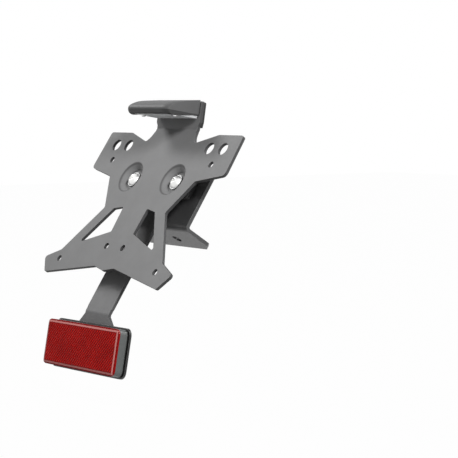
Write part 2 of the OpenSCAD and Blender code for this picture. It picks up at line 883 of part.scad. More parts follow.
module flap_backing() {
    color([0.03, 0.03, 0.03])
        on_flap()
            difference() {
                sheet(rounded(concat(backing_right, mirrored(backing_right))), -flap_back, backing_t);
                pair(lamp_screw_gap / 2)
                    back_hole(0, -flap_back - 1, backing_t + 2, lamp_screw_d + 2 * hole_clear);
                back_hole(0, -flap_back - 1, backing_t + 2, cable_d + 2 * grommet_wall);
            }
}

module lamp_washers() {
    color([0.72, 0.72, 0.7])
        on_flap()
            pair(lamp_screw_gap / 2)
                translate([0, lamp_screw_y, -flap_back - small_washer_t])
                    ring(small_washer_d, lamp_screw_d + 2 * thread_clear, small_washer_t);
}

module lamp_screws() {
    color([0.8, 0.8, 0.8])
        on_flap()
            pair(lamp_screw_gap / 2)
                translate([0, lamp_screw_y, -flap_back - small_washer_t])
                    rotate([180, 0, 0])
                        button_screw(lamp_screw_d, small_washer_t + flap_back + gasket_t + lamp_screw_in,
                            small_head_d, small_head_h, 2.5);
}

module cable_grommet() {
    color([0.04, 0.04, 0.04])
        on_flap()
            translate([0, lamp_screw_y, -flap_back])
                difference() {
                    union() {
                        cylinder(h = flap_back, d = cable_d + 2 * grommet_wall - 2 * grommet_gap);
                        translate([0, 0, -grommet_flange])
                            cylinder(h = grommet_flange, d = cable_d + 2 * grommet_wall + 4);
                        translate([0, 0, -grommet_neck])
                            cylinder(h = grommet_neck, d1 = cable_d + 1.2, d2 = cable_d + 2 * grommet_wall);
                    }
                    translate([0, 0, -grommet_neck - 1])
                        cylinder(h = grommet_neck + flap_back + 2, d = cable_d - 1);
                }
}

// A rounded plate in the reflector's frame, k larger than the reflector all round
module reflector_layer(k, z, h) {
    sheet(rounded_box(reflector_w + 2 * k, reflector_h + 2 * k, reflector_r + k), z, h);
}

module reflector_base() {
    color([0.04, 0.04, 0.04])
        on_reflector()
            difference() {
                reflector_layer(base_over, 0, base_t);
                translate([0, 0, -1])
                    cylinder(h = base_t + 2, d = stud_d + 2 * thread_clear);
                translate([0, 0, base_t - stud_head_t])
                    cylinder(h = stud_head_t + 1, d = stud_head_d + 2 * thread_clear);
            }
}

module reflector_seal() {
    color([0.02, 0.02, 0.02])
        on_reflector()
            difference() {
                reflector_layer(-seal_step, seal_z, seal_t);
                reflector_layer(-reflector_r + 0.5, seal_z - 1, seal_t + 2);
            }
}

module reflector_housing() {
    color([0.35, 0.35, 0.36])
        on_reflector()
            difference() {
                reflector_layer(0, tray_z, tray_h);
                reflector_layer(-tray_wall, tray_z + tray_wall, tray_h);
            }
}

// A bar along x whose two long upper edges are bevelled by w over the height h
module bevelled_bar(l, half, z, flat, h, w) {
    rotate([0, 90, 0])
        linear_extrude(l, center = true)
            polygon([[-z, -half], [-z - flat, -half], [-z - flat - h, -half + w],
                [-z - flat - h, half - w], [-z - flat, half], [-z, half]]);
}

module reflector_lens() {
    color([0.72, 0.03, 0.03])
        on_reflector() {
            intersection() {
                reflector_layer(0, lens_z, edge_h + bevel_h);
                bevelled_bar(reflector_w, reflector_h / 2, lens_z, edge_h, bevel_h, bevel_w);
                rotate([0, 0, 90])
                    bevelled_bar(reflector_h, reflector_w / 2, lens_z, edge_h, bevel_h, bevel_w);
            }
            reflector_layer(-tray_wall - block_gap, lens_z - block_h, block_h + eps);
        }
}

module reflector_stud() {
    color([0.8, 0.8, 0.78])
        on_reflector() {
            translate([0, 0, base_t - stud_head_t])
                cylinder(h = stud_head_t, d = stud_head_d);
            translate([0, 0, -stud_l])
                cylinder(h = stud_l + base_t - stud_head_t + eps, d = stud_d);
        }
}

module reflector_washer() {
    color([0.72, 0.72, 0.7])
        on_reflector()
            translate([0, 0, -strip_t - stud_washer_t])
                ring(stud_washer_d, stud_d + 2 * thread_clear, stud_washer_t);
}

module reflector_nut() {
    color([0.7, 0.7, 0.68])
        on_reflector()
            translate([0, 0, -strip_t - stud_washer_t])
                lock_nut(stud_flats, stud_nut_h, stud_d + 2 * thread_clear);
}

plate_bracket();
main_screws();
recess_spacers();
reflector_strip();
arm_adapter();
main_washers();
main_nuts();
lamp_gasket();
lamp_housing();
lamp_lens();
lamp_board();
lamp_leds();
lens_screws();
flap_backing();
lamp_washers();
lamp_screws();
cable_grommet();
reflector_base();
reflector_seal();
reflector_housing();
reflector_lens();
reflector_stud();
reflector_washer();
reflector_nut();
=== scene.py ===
import bpy, bmesh, json, math
from mathutils import Matrix, Vector


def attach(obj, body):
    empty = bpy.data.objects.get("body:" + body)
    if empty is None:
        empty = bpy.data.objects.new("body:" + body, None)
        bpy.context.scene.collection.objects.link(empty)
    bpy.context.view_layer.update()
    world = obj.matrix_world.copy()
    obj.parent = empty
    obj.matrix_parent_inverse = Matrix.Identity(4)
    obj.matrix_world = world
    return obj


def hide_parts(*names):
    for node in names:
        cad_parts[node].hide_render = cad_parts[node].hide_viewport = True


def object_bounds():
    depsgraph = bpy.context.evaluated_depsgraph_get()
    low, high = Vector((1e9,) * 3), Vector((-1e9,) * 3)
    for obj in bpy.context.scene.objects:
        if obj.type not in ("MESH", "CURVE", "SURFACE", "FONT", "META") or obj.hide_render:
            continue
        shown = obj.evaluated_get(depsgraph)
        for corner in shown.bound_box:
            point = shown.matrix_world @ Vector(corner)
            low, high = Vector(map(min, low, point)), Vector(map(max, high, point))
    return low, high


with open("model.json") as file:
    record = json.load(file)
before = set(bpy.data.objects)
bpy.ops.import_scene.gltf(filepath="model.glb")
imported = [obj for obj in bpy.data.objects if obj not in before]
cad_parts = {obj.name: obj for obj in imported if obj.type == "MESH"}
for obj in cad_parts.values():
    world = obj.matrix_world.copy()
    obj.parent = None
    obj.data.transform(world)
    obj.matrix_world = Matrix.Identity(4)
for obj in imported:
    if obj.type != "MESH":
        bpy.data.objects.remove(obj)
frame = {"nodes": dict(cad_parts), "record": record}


def plain(corners):
    return [[float(v) for v in c] for c in corners]


size_before = plain(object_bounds())
scene = bpy.context.scene

# ---------------------------------------------------------------- sizes shared with the CAD, in metres
PLATE_LEAN = math.radians(33.2)
FLAP_LEAN = math.radians(9.0)
REFL_LEAN = math.radians(11.0)
REFL_ROLL = math.radians(1.3)
ORIGIN = (0.0, -0.01162, 0.045249)

FOLD_START = 0.0465
FOLD_R = 0.003
STRIP_FRONT = -0.014
STRIP_T = 0.0025
STRIP_FOLD = -0.1155
STRIP_R = FOLD_R + STRIP_T
STUD_BELOW_FOLD = 0.027

RECESS_X = 0.0299
RECESS_KEEP_R = 0.0142
RECESS_MOUTH_R = 0.0134
RECESS_FLOOR_R = 0.0088

ADAPTER_BACK = -0.0195
WASHER_T = 0.0012
NUT_H = 0.006
STUD_WASHER_T = 0.001
STUD_NUT_H = 0.005
THREAD_PAST = 0.00148
THREAD_INSIDE = 0.0008

REFLECTOR_HALF_W = 0.052
REFLECTOR_HALF_H = 0.0181

LAMP_HALF = 0.029
LAMP_BACK = 0.001
LAMP_FRONT = 0.033
LAMP_LOW = 0.010
LAMP_TOP = 0.0228
LAMP_SLOPE = math.tan(math.radians(10.5))
LENS_T = 0.0022
LENS_SCREW_X = 0.023
PILLAR_R = 0.003
LIP_H = 0.0014
LED_H = 0.0014
LAMP_SCREW_IN = 0.006
BOARD_W = 0.015
BOARD_Y = LAMP_LOW + LIP_H + LED_H + 0.0003
BOARD_Z = LAMP_BACK + LAMP_SCREW_IN + 0.002 + BOARD_W / 2
LENS_SCREW_Z = BOARD_Z + 0.002


def frame_at(origin, lean):
    """A frame whose y runs up a surface that leans by lean, and whose z points out of its rear face."""
    c, s = math.cos(lean), math.sin(lean)
    return Matrix(((1, 0, 0, origin[0]), (0, s, -c, origin[1]), (0, c, s, origin[2]), (0, 0, 0, 1)))


def folded(start, z, turn):
    """The plate's frame carried round a fold that starts at a height and turns about a line at z."""
    return PLATE @ Matrix.Translation((0, start, z)) @ Matrix.Rotation(turn, 4, "X")


PLATE = frame_at(ORIGIN, PLATE_LEAN)
FLAP_TURN = PLATE_LEAN - FLAP_LEAN
FLAP_FRAME = (folded(FOLD_START - FOLD_R * math.tan(FLAP_TURN / 2), FOLD_R, FLAP_TURN)
              @ Matrix.Translation((0, 0, -FOLD_R)))
STRIP_TURN = PLATE_LEAN - REFL_LEAN
REFL_FRAME = (folded(STRIP_FOLD + STRIP_R * math.tan(STRIP_TURN / 2), STRIP_FRONT - STRIP_R, STRIP_TURN)
              @ Matrix.Translation((0, -STUD_BELOW_FOLD, STRIP_R)) @ Matrix.Rotation(REFL_ROLL, 4, "Z"))


# ---------------------------------------------------------------- material helpers
def new_mat(name):
    m = bpy.data.materials.new(name)
    m.use_nodes = True
    return m, m.node_tree, m.node_tree.nodes["Principled BSDF"]


def link(nt, a, b):
    nt.links.new(a, b)


def position(nt):
    return nt.nodes.new("ShaderNodeNewGeometry").outputs["Position"]


def noise(nt, scale, detail=3.0, rough=0.6):
    n = nt.nodes.new("ShaderNodeTexNoise")
    n.inputs["Scale"].default_value = scale
    n.inputs["Detail"].default_value = detail
    n.inputs["Roughness"].default_value = rough
    link(nt, position(nt), n.inputs["Vector"])
    return n.outputs["Fac"]


def ramp(nt, fac, stops):
    r = nt.nodes.new("ShaderNodeValToRGB")
    els = r.color_ramp.elements
    while len(els) < len(stops):
        els.new(0.5)
    for e, (p, c) in zip(els, stops):
        e.position = p
        e.color = (*c, 1.0)
    link(nt, fac, r.inputs["Fac"])
    return r.outputs["Color"]


def grey(v):
    return (v, v, v)


def maths(nt, op, *values):
    """A Math node on sockets or numbers."""
    n = nt.nodes.new("ShaderNodeMath")
    n.operation = op
    for i, v in enumerate(values):
        if isinstance(v, (int, float)):
            n.inputs[i].default_value = v
        else:
            link(nt, v, n.inputs[i])
    return n.outputs[0]


def dot_product(nt, a, b):
    """The dot product of a socket with a socket or a fixed vector."""
    n = nt.nodes.new("ShaderNodeVectorMath")
    n.operation = "DOT_PRODUCT"
    link(nt, a, n.inputs[0])
    if isinstance(b, Vector):
        n.inputs[1].default_value = b
    else:
        link(nt, b, n.inputs[1])
    return n.outputs["Value"]


def tinted(nt, factor, source, colour):
    """A colour socket with a fixed colour mixed in by a factor."""
    mix = nt.nodes.new("ShaderNodeMix")
    mix.data_type = "RGBA"
    link(nt, factor, mix.inputs["Factor"])
    link(nt, source, mix.inputs[6])
    mix.inputs[7].default_value = (*colour, 1.0)
    return mix.outputs[2]


def soft_normal(nt, radius):
    """The normal with edges rounded by a radius."""
    n = nt.nodes.new("ShaderNodeBevel")
    n.samples = 6
    n.inputs["Radius"].default_value = radius
    return n.outputs["Normal"]


def bumped(nt, height, strength, distance, normal=None):
    n = nt.nodes.new("ShaderNodeBump")
    n.inputs["Strength"].default_value = strength
    n.inputs["Distance"].default_value = distance
    link(nt, height, n.inputs["Height"])
    if normal:
        link(nt, normal, n.inputs["Normal"])
    return n.outputs["Normal"]


def local_xy(nt, frame_matrix):
    """The x and y in metres in a frame of the object."""
    inv = frame_matrix.inverted()
    mp = nt.nodes.new("ShaderNodeMapping")
    mp.inputs["Location"].default_value = inv.to_translation()
    mp.inputs["Rotation"].default_value = inv.to_euler("XYZ")
    link(nt, position(nt), mp.inputs["Vector"])
    xyz = nt.nodes.new("ShaderNodeSeparateXYZ")
    link(nt, mp.outputs["Vector"], xyz.inputs[0])
    return xyz.outputs[0], xyz.outputs[1]


GRAIN_DEPTH = 0.0002
ROUGH_VARIES = 0.08


def surface(name, base, rough, metal=0.0, spec=0.5, coat=0.0, grain=0.0, grain_scale=900.0, mottle=0.06,
            mottle_scale=60.0, wear_and_highlight=0.0, wear_and_highlight_col=None, edge_radius=0.0006, bevel=0.0003):
    """A procedural finish: mottled colour, a lighter colour on the edges that is wear on some finishes and a
    painted highlight on others, varied roughness, fine grain and soft edges.
    """
    m, nt, b = new_mat(name)
    low = tuple(max(0.0, c * (1.0 - mottle)) for c in base)
    high = tuple(min(1.0, c * (1.0 + mottle)) for c in base)
    colour = ramp(nt, noise(nt, mottle_scale, 3.0, 0.55), [(0.3, low), (0.7, high)])
    # Lighter colour on the bevelled edges: wear, and a painted highlight on the black base and the adapter
    if wear_and_highlight > 0.0:
        true = nt.nodes.new("ShaderNodeNewGeometry").outputs["Normal"]
        bent = dot_product(nt, soft_normal(nt, edge_radius), true)
        mask = ramp(nt, bent, [(0.86, grey(1.0)), (0.995, grey(0.0))])
        colour = tinted(nt, maths(nt, "MULTIPLY", mask, wear_and_highlight), colour, wear_and_highlight_col)
    link(nt, colour, b.inputs["Base Color"])
    b.inputs["Metallic"].default_value = metal
    b.inputs["Specular IOR Level"].default_value = spec
    b.inputs["Coat Weight"].default_value = coat
    b.inputs["Coat Roughness"].default_value = 0.12
    spread = nt.nodes.new("ShaderNodeMapRange")
    spread.inputs["To Min"].default_value = max(0.02, rough - ROUGH_VARIES)
    spread.inputs["To Max"].default_value = min(1.0, rough + ROUGH_VARIES)
    link(nt, noise(nt, grain_scale * 0.35, 4.0), spread.inputs["Value"])
    link(nt, spread.outputs["Result"], b.inputs["Roughness"])
    normal = soft_normal(nt, bevel)
    if grain > 0.0:
        normal = bumped(nt, noise(nt, grain_scale), grain, GRAIN_DEPTH, normal)
    link(nt, normal, b.inputs["Normal"])
    return m


def clear_plastic(name, tint, rough, transmission):
    """Clear plastic with a faint ripple."""
    m, nt, b = new_mat(name)
    link(nt, bumped(nt, noise(nt, 700.0, 3.0, 0.5), 0.05, GRAIN_DEPTH), b.inputs["Normal"])
    b.inputs["Base Color"].default_value = (*tint, 1.0)
    b.inputs["Roughness"].default_value = rough
    b.inputs["Transmission Weight"].default_value = transmission
    b.inputs["IOR"].default_value = 1.49
    return m


PRISM = 0.0022
BORDER = 0.0031
HIGHLIGHT_LINE_IN = 0.0013
HIGHLIGHT_LINE_HALF = 0.0007


def prism_red(name):
    """Clear red plastic over a field of small prisms, whose lit and shaded faces are painted, with a painted
    highlight inside its border.
    """
    m, nt, b = new_mat(name)
    x, y = local_xy(nt, REFL_FRAME)
    u = maths(nt, "DIVIDE", maths(nt, "ADD", x, y), PRISM * math.sqrt(2))
    v = maths(nt, "DIVIDE", maths(nt, "SUBTRACT", x, y), PRISM * math.sqrt(2))
    height = maths(nt, "ADD", maths(nt, "PINGPONG", u, 0.5), maths(nt, "PINGPONG", v, 0.5))
    # Each prism's faces are lit in part, and a slow cloud moves the shade
    lit_v = maths(nt, "MULTIPLY", maths(nt, "GREATER_THAN", maths(nt, "FRACT", v), 0.5), 0.5)
    lit_u = maths(nt, "MULTIPLY", maths(nt, "GREATER_THAN", maths(nt, "FRACT", u), 0.5), 0.2)
    cloud = maths(nt, "MULTIPLY", maths(nt, "SUBTRACT", noise(nt, 70.0), 0.5), 0.55)
    shade = maths(nt, "ADD", maths(nt, "ADD", lit_v, lit_u), cloud)
    field = ramp(nt, shade, [(0.1, (0.22, 0.0012, 0.0008)), (0.4, (0.48, 0.0024, 0.0016)),
                             (0.75, (0.82, 0.012, 0.008)), (1.0, (0.95, 0.04, 0.028))])
    # Distance outside the inner rectangle of the border
    dx = maths(nt, "SUBTRACT", maths(nt, "ABSOLUTE", x), REFLECTOR_HALF_W - BORDER)
    dy = maths(nt, "SUBTRACT", maths(nt, "ABSOLUTE", y), REFLECTOR_HALF_H - BORDER)
    d = maths(nt, "MAXIMUM", dx, dy)
    outside = maths(nt, "GREATER_THAN", d, 0.0)
    # Painted highlight: a pale band inside the border, where its bevel catches the light
    from_line = maths(nt, "ABSOLUTE", maths(nt, "SUBTRACT", d, HIGHLIGHT_LINE_IN))
    line = maths(nt, "MULTIPLY", maths(nt, "LESS_THAN", from_line, HIGHLIGHT_LINE_HALF), 0.8)
    colour = tinted(nt, line, tinted(nt, outside, field, (0.3, 0.002, 0.002)), (0.85, 0.34, 0.32))
    link(nt, colour, b.inputs["Base Color"])
    soft = soft_normal(nt, 0.0006)
    ridges = maths(nt, "MULTIPLY", height, maths(nt, "SUBTRACT", 1.0, outside))
    link(nt, bumped(nt, ridges, 0.35, 0.0004, soft), b.inputs["Normal"])
    link(nt, soft, b.inputs["Coat Normal"])
    b.inputs["Roughness"].default_value = 0.3
    b.inputs["Specular IOR Level"].default_value = 0.0
    b.inputs["Coat Weight"].default_value = 0.12
    b.inputs["Coat Roughness"].default_value = 0.05
    return m


# ---------------------------------------------------------------- materials
MATS = {
    "plate_sheet": surface("plate_sheet", (0.25, 0.25, 0.252), 0.56, spec=0.2, grain=0.35, grain_scale=1500,
                           mottle=0.05, mottle_scale=45, wear_and_highlight=0.5, wear_and_highlight_col=grey(0.34), edge_radius=0.0005,
                           bevel=0.00035),
    "zinc_screws": surface("zinc_screws", (0.86, 0.86, 0.85), 0.42, metal=1.0, grain=0.12, mottle=0.05,
                           bevel=0.00025),
    # A darker copy of the screws' zinc for the main washers: painted shade round the bolt heads
    "shaded_washer_zinc": surface("shaded_washer_zinc", grey(0.3), 0.5, metal=1.0, grain=0.12, mottle=0.05, bevel=0.00015),
    "spacer_aluminium": surface("spacer_aluminium", (0.6, 0.6, 0.61), 0.35, metal=1.0, grain=0.1),
    "strip_sheet": surface("strip_sheet", (0.2, 0.2, 0.202), 0.5, spec=0.25, grain=0.35, grain_scale=1500,
                           wear_and_highlight=0.5, wear_and_highlight_col=grey(0.36)),
    # The adapter's lighter edges are a painted highlight
    "adapter_black": surface("adapter_black", (0.06, 0.06, 0.061), 0.38, grain=0.5, grain_scale=1100,
                             mottle=0.15, wear_and_highlight=0.55, wear_and_highlight_col=grey(0.22)),
    "black_rubber": surface("black_rubber", grey(0.012), 0.75, grain=0.3),
    "lamp_plastic": surface("lamp_plastic", (0.085, 0.085, 0.086), 0.55, grain=0.35, grain_scale=1600,
                            mottle=0.08, wear_and_highlight=0.3, wear_and_highlight_col=grey(0.16), edge_radius=0.0012, bevel=0.0006),
    "clear_lens": clear_plastic("clear_lens", (0.9, 0.91, 0.92), 0.3, 0.35),
    "nylon": surface("nylon", (0.55, 0.55, 0.52), 0.4, mottle=0.04),
    "gold_pads": surface("gold_pads", (0.7, 0.5, 0.2), 0.3, metal=1.0, mottle=0.04),
    "chip_black": surface("chip_black", (0.015, 0.015, 0.016), 0.5),
    "board_green": surface("board_green", (0.02, 0.1, 0.035), 0.35, coat=0.3, mottle=0.12),
    "led_white": surface("led_white", (0.85, 0.78, 0.45), 0.3, coat=0.4, mottle=0.03),
    # The base's lighter edges are a painted highlight
    "base_plastic": surface("base_plastic", grey(0.012), 0.32, grain=0.05, wear_and_highlight=0.5, wear_and_highlight_col=grey(0.2),
                            edge_radius=0.0004, bevel=0.0004),
    "housing_plastic": surface("housing_plastic", (0.1, 0.107, 0.105), 0.32, grain=0.08, mottle=0.04,
                               bevel=0.0004),
    "red_lens": prism_red("red_lens"),
}


def darken(mat, mask, amount, colour):
    """Mixes a colour into a finish by an amount where the mask is 1."""
    nt = mat.node_tree
    base = nt.nodes["Principled BSDF"].inputs["Base Color"]
    link(nt, tinted(nt, maths(nt, "MULTIPLY", mask, amount), base.links[0].from_socket, colour), base)


def recess_radius2(nt, centre_x):
    """The squared distance from the nearer of two centres on the plate."""
    x, y = local_xy(nt, PLATE)
    dx = maths(nt, "SUBTRACT", maths(nt, "ABSOLUTE", x), centre_x)
    return maths(nt, "ADD", maths(nt, "MULTIPLY", dx, dx), maths(nt, "MULTIPLY", y, y))


def shade_cut_walls(mat, keep_x, keep_r, colour, amount):
    """Painted shade on the cut edges of a sheet, which are made darker than its faces; the pressed recesses
    keep the coat's colour.
    """
    nt = mat.node_tree
    true = nt.nodes.new("ShaderNodeNewGeometry").outputs["True Normal"]
    across = maths(nt, "ABSOLUTE", dot_product(nt, true, PLATE.col[2].to_3d()))
    wall = maths(nt, "LESS_THAN", across, 0.4)
    away = maths(nt, "GREATER_THAN", recess_radius2(nt, keep_x), keep_r * keep_r)
    darken(mat, maths(nt, "MULTIPLY", wall, away), amount, colour)


def recess_shade_line(mat, radius, width, colour, amount):
    """A soft ring of painted shade round each recess, at a radius from its centre."""
    nt = mat.node_tree
    r = maths(nt, "SQRT", recess_radius2(nt, RECESS_X))
    off = maths(nt, "DIVIDE", maths(nt, "ABSOLUTE", maths(nt, "SUBTRACT", r, radius)), width)
    darken(mat, maths(nt, "MAXIMUM", maths(nt, "SUBTRACT", 1.0, off), 0.0), amount, colour)


def painted_rim_shade(mat, level, colour, amount):
    """Painted shade along the lamp's rim, for the shadow in the gap at its lip: its finish darkened below a
    level of the flap's frame.
    """
    nt = mat.node_tree
    y = local_xy(nt, FLAP_FRAME)[1]
    darken(mat, maths(nt, "LESS_THAN", y, level), amount, colour)


# Painted shade: a dark band along the lamp's rim
painted_rim_shade(MATS["lamp_plastic"], 0.0111, grey(0.006), 0.85)
# Painted shade on the plate's cut edges
shade_cut_walls(MATS["plate_sheet"], RECESS_X, RECESS_KEEP_R, (0.035, 0.035, 0.036), 0.85)
# Painted shade at each recess's mouth and round the rim of its floor
recess_shade_line(MATS["plate_sheet"], RECESS_MOUTH_R, 0.0011, (0.06, 0.06, 0.061), 0.75)
recess_shade_line(MATS["plate_sheet"], RECESS_FLOOR_R, 0.0014, (0.08, 0.08, 0.081), 0.6)
# Painted shade on the strip's cut edges
shade_cut_walls(MATS["strip_sheet"], 0.0, 0.0, (0.03, 0.03, 0.031), 0.7)

# A node takes the finish named after its slot, apart from the main washers, which take a darker copy of the
# screws' zinc as painted shade round the bolt heads
finish = {s["node"]: s["material_slot"] for s in frame["record"]["subparts"]}
finish["main_washers"] = "shaded_washer_zinc"
for node, obj in frame["nodes"].items():
    for slot in obj.material_slots:
        slot.link = "OBJECT"
        slot.material = MATS[finish[node]]


# ---------------------------------------------------------------- helpers for pieces
def piece(name, bm, matrix, mat, smooth=False):
    """An object of the scene that rides on the part, from a mesh in one of its frames."""
    me = bpy.data.meshes.new(name)
    bmesh.ops.recalc_face_normals(bm, faces=bm.faces)
    bm.transform(matrix)
    bm.to_mesh(me)
    bm.free()
    for poly in me.polygons:
        poly.use_smooth = smooth
    o = bpy.data.objects.new(name, me)
    scene.collection.objects.link(o)
    me.materials.append(MATS[mat])
    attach(o, "root")
    return o


def lathe(bm, profile, place, segments=48):
    """Turns a closed profile of (radius, z) round z and puts it in a place."""
    rings = []
    for i in range(segments):
        a = 2 * math.pi * i / segments
        rings.append([bm.verts.new(place @ Vector((r * math.cos(a), r * math.sin(a), z))) for r, z in profile])
    n = len(profile)
    for i in range(segments):
        p, q = rings[i], rings[(i + 1) % segments]
        for k in range(n):
            bm.faces.new((p[k], q[k], q[(k + 1) % n], p[(k + 1) % n]))


THREAD_STEPS = 36
THREAD_SUNK = 0.0001


def thread(bm, r, pitch, end, x=0.0):
    """A helical ridge round z on a shank of radius r, past and inside a nut's end, that fades in and out."""
    z0, z1 = end - THREAD_PAST, end + THREAD_INSIDE
    turns = (z1 - z0) / pitch
    steps = max(8, int(turns * THREAD_STEPS))
    half = pitch * 0.38
    last = None
    for i in range(steps + 1):
        t = i / steps
        a = 2 * math.pi * turns * t
        ridge = r + 0.12 * pitch * min(1.0, 8 * t, 8 * (1 - t)) + 1e-6
        z = min(max(z0 + (z1 - z0) * t, z0 + half), z1 - half)
        row = [bm.verts.new((x + rr * math.cos(a), rr * math.sin(a), z + dz))
               for rr, dz in ((r - THREAD_SUNK, -half), (ridge, -half * 0.2), (ridge, half * 0.2),
                              (r - THREAD_SUNK, half))]
        if last:
            for k in range(4):
                bm.faces.new((last[k], last[(k + 1) % 4], row[(k + 1) % 4], row[k]))
        else:
            bm.faces.new(row[::-1])
        last = row
    bm.faces.new(last)


def nut_ring(bm, place, bore, outer, chamfer, proud, depth):
    """The plastic ring in the end of a locking nut."""
    lathe(bm, [(bore, -proud), (outer - chamfer, -proud), (outer, 0.0), (outer, depth), (bore, depth)], place)


def block(bm, lo, hi):
    v = [bm.verts.new((x, y, z)) for x in (lo[0], hi[0]) for y in (lo[1], hi[1]) for z in (lo[2], hi[2])]
    for f in ((0, 1, 3, 2), (4, 6, 7, 5), (0, 4, 5, 1), (2, 3, 7, 6), (0, 2, 6, 4), (1, 5, 7, 3)):
        bm.faces.new([v[i] for i in f])


# ---------------------------------------------------------------- threads and nut rings
MAIN_END = ADAPTER_BACK - WASHER_T - NUT_H
STUD_END = -STRIP_T - STUD_WASHER_T - STUD_NUT_H
bm = bmesh.new()
for x in (-RECESS_X, RECESS_X):
    thread(bm, 0.003, 0.001, MAIN_END, x)
piece("main_threads", bm, PLATE, "zinc_screws", True)
bm = bmesh.new()
thread(bm, 0.0025, 0.0008, STUD_END)
piece("stud_threads", bm, REFL_FRAME, "zinc_screws", True)
bm = bmesh.new()
for x in (-RECESS_X, RECESS_X):
    nut_ring(bm, Matrix.Translation((x, 0, MAIN_END)), 0.00302, 0.0042, 0.0002, 0.00012, 0.001)
piece("main_nut_rings", bm, PLATE, "nylon", True)
bm = bmesh.new()
nut_ring(bm, Matrix.Translation((0, 0, STUD_END)), 0.00252, 0.0034, 0.0001, 0.0001, 0.0008)
piece("reflector_nut_ring", bm, REFL_FRAME, "nylon", True)

# ---------------------------------------------------------------- the lamp's housing
# Its solid has the round nose only in part. Here the roof bends down to the nose over a long curve, the
# front corners sweep back, and the rim comes down over the lens's front.
SHELL_WALL = 0.0008
CORNER_R = 0.009
CORNER_TURN = math.radians(48)
NOSE_TIP = 0.0118
NOSE_UP = 0.0125
NOSE_DOWN = 0.0062
CORNER_TIGHTER = 0.35
RIM_DROP = 0.0038
RIM_LONG = 0.016
COLUMNS = 48
ROWS = 40
LIP_ROWS = 20
POST_SIDES = 32


def swept_back(x):
    """How far the lamp's front lies back at x, and its turn there."""
    start = LAMP_HALF - CORNER_R * math.sin(CORNER_TURN)
    turn = math.asin(max(0.0, abs(x) - start) / CORNER_R)
    return CORNER_R * (1 - math.cos(turn)), turn


def from_tip(height, d, reach):
    """The height at a distance d from the front: the nose's tip at 0, the full height from reach on."""
    k = max(0.0, 1 - d / reach)
    return NOSE_TIP + (height - NOSE_TIP) * math.sqrt(1 - k * k)


def lamp_roof(z):
    return LAMP_TOP - (z - LAMP_BACK) * LAMP_SLOPE


bm = bmesh.new()
roof, rim = [], []
for i in range(COLUMNS + 1):
    x = LAMP_HALF * math.sin(math.pi / 2 * (2 * i / COLUMNS - 1))
    back, turn = swept_back(x)
    front = LAMP_FRONT - back
    reach = NOSE_DOWN * (1 - CORNER_TIGHTER * turn / CORNER_TURN)
    roof.append([])
    rim.append([])
    for j in range(ROWS + 1):
        z = front + (LAMP_BACK - front) * (j / ROWS) ** 2.4
        d = (front - z) * math.cos(turn)
        low = LAMP_LOW - RIM_DROP * max(0.0, 1 - d / RIM_LONG)
        roof[i].append(bm.verts.new((x, from_tip(lamp_roof(z), d, NOSE_UP), z)))
        if j == 0:
            rim[i].append(roof[i][0])
        elif j <= LIP_ROWS or i in (0, COLUMNS):
            rim[i].append(bm.verts.new((x, from_tip(low, d, reach), z)))
for i in range(COLUMNS):
    for j in range(ROWS):
        bm.faces.new((roof[i][j], roof[i][j + 1], roof[i + 1][j + 1], roof[i + 1][j]))
    for j in range(LIP_ROWS):
        bm.faces.new((rim[i][j], rim[i + 1][j], rim[i + 1][j + 1], rim[i][j + 1]))
for i in (0, COLUMNS):
    bm.faces.new((roof[i][0], roof[i][1], rim[i][1]))
    for j in range(1, ROWS):
        bm.faces.new((roof[i][j], roof[i][j + 1], rim[i][j + 1], rim[i][j]))
back_row = [bm.verts.new((column[-1].co.x, LAMP_LOW, LAMP_BACK)) for column in roof[1:-1]]
back_row = [rim[0][-1], *back_row, rim[-1][-1]]
for i in range(COLUMNS):
    bm.faces.new((roof[i][-1], back_row[i], back_row[i + 1], roof[i + 1][-1]))
for middle in (-LENS_SCREW_X, LENS_SCREW_X):
    post = []
    for k in range(POST_SIDES):
        a = 2 * math.pi * k / POST_SIDES
        x, z = middle + PILLAR_R * math.cos(a), LENS_SCREW_Z + PILLAR_R * math.sin(a)
        post.append([bm.verts.new((x, y, z)) for y in (LAMP_LOW, lamp_roof(z) - 0.001)])
    for p, q in zip(post, post[1:] + post[:1]):
        bm.faces.new((p[0], q[0], q[1], p[1]))
shell = piece("lamp_shell", bm, FLAP_FRAME, "lamp_plastic", True)
wall = shell.modifiers.new("wall", "SOLIDIFY")
wall.thickness = SHELL_WALL
wall.offset = -1.0
wall.use_even_offset = True
crease = shell.modifiers.new("edges", "EDGE_SPLIT")
crease.split_angle = math.radians(32)
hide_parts("lamp_housing")

# ---------------------------------------------------------------- the lamp's lens and board
RIB_COUNT = 19
RIB_PITCH = 0.0012
RIB_FIRST_Z = 0.0045
RIB_END = 0.0262
RIB_END_AT_SCREWS = 0.0192
RIB_CLEAR_OF_SCREWS = 0.004
bm = bmesh.new()
for i in range(RIB_COUNT):
    z = RIB_FIRST_Z + i * RIB_PITCH
    end = RIB_END_AT_SCREWS if abs(z - LENS_SCREW_Z) < RIB_CLEAR_OF_SCREWS else RIB_END
    v = [bm.verts.new((x, LAMP_LOW - LENS_T + dy, z + dz)) for x in (-end, end)
         for dy, dz in ((0.0002, -0.0005), (-0.00025, 0.0), (0.0002, 0.0005))]
    bm.faces.new((v[0], v[1], v[2]))
    bm.faces.new((v[3], v[5], v[4]))
    for k in range(3):
        bm.faces.new((v[k], v[k + 3], v[(k + 1) % 3 + 3], v[(k + 1) % 3]))
piece("lens_ribs", bm, FLAP_FRAME, "clear_lens")

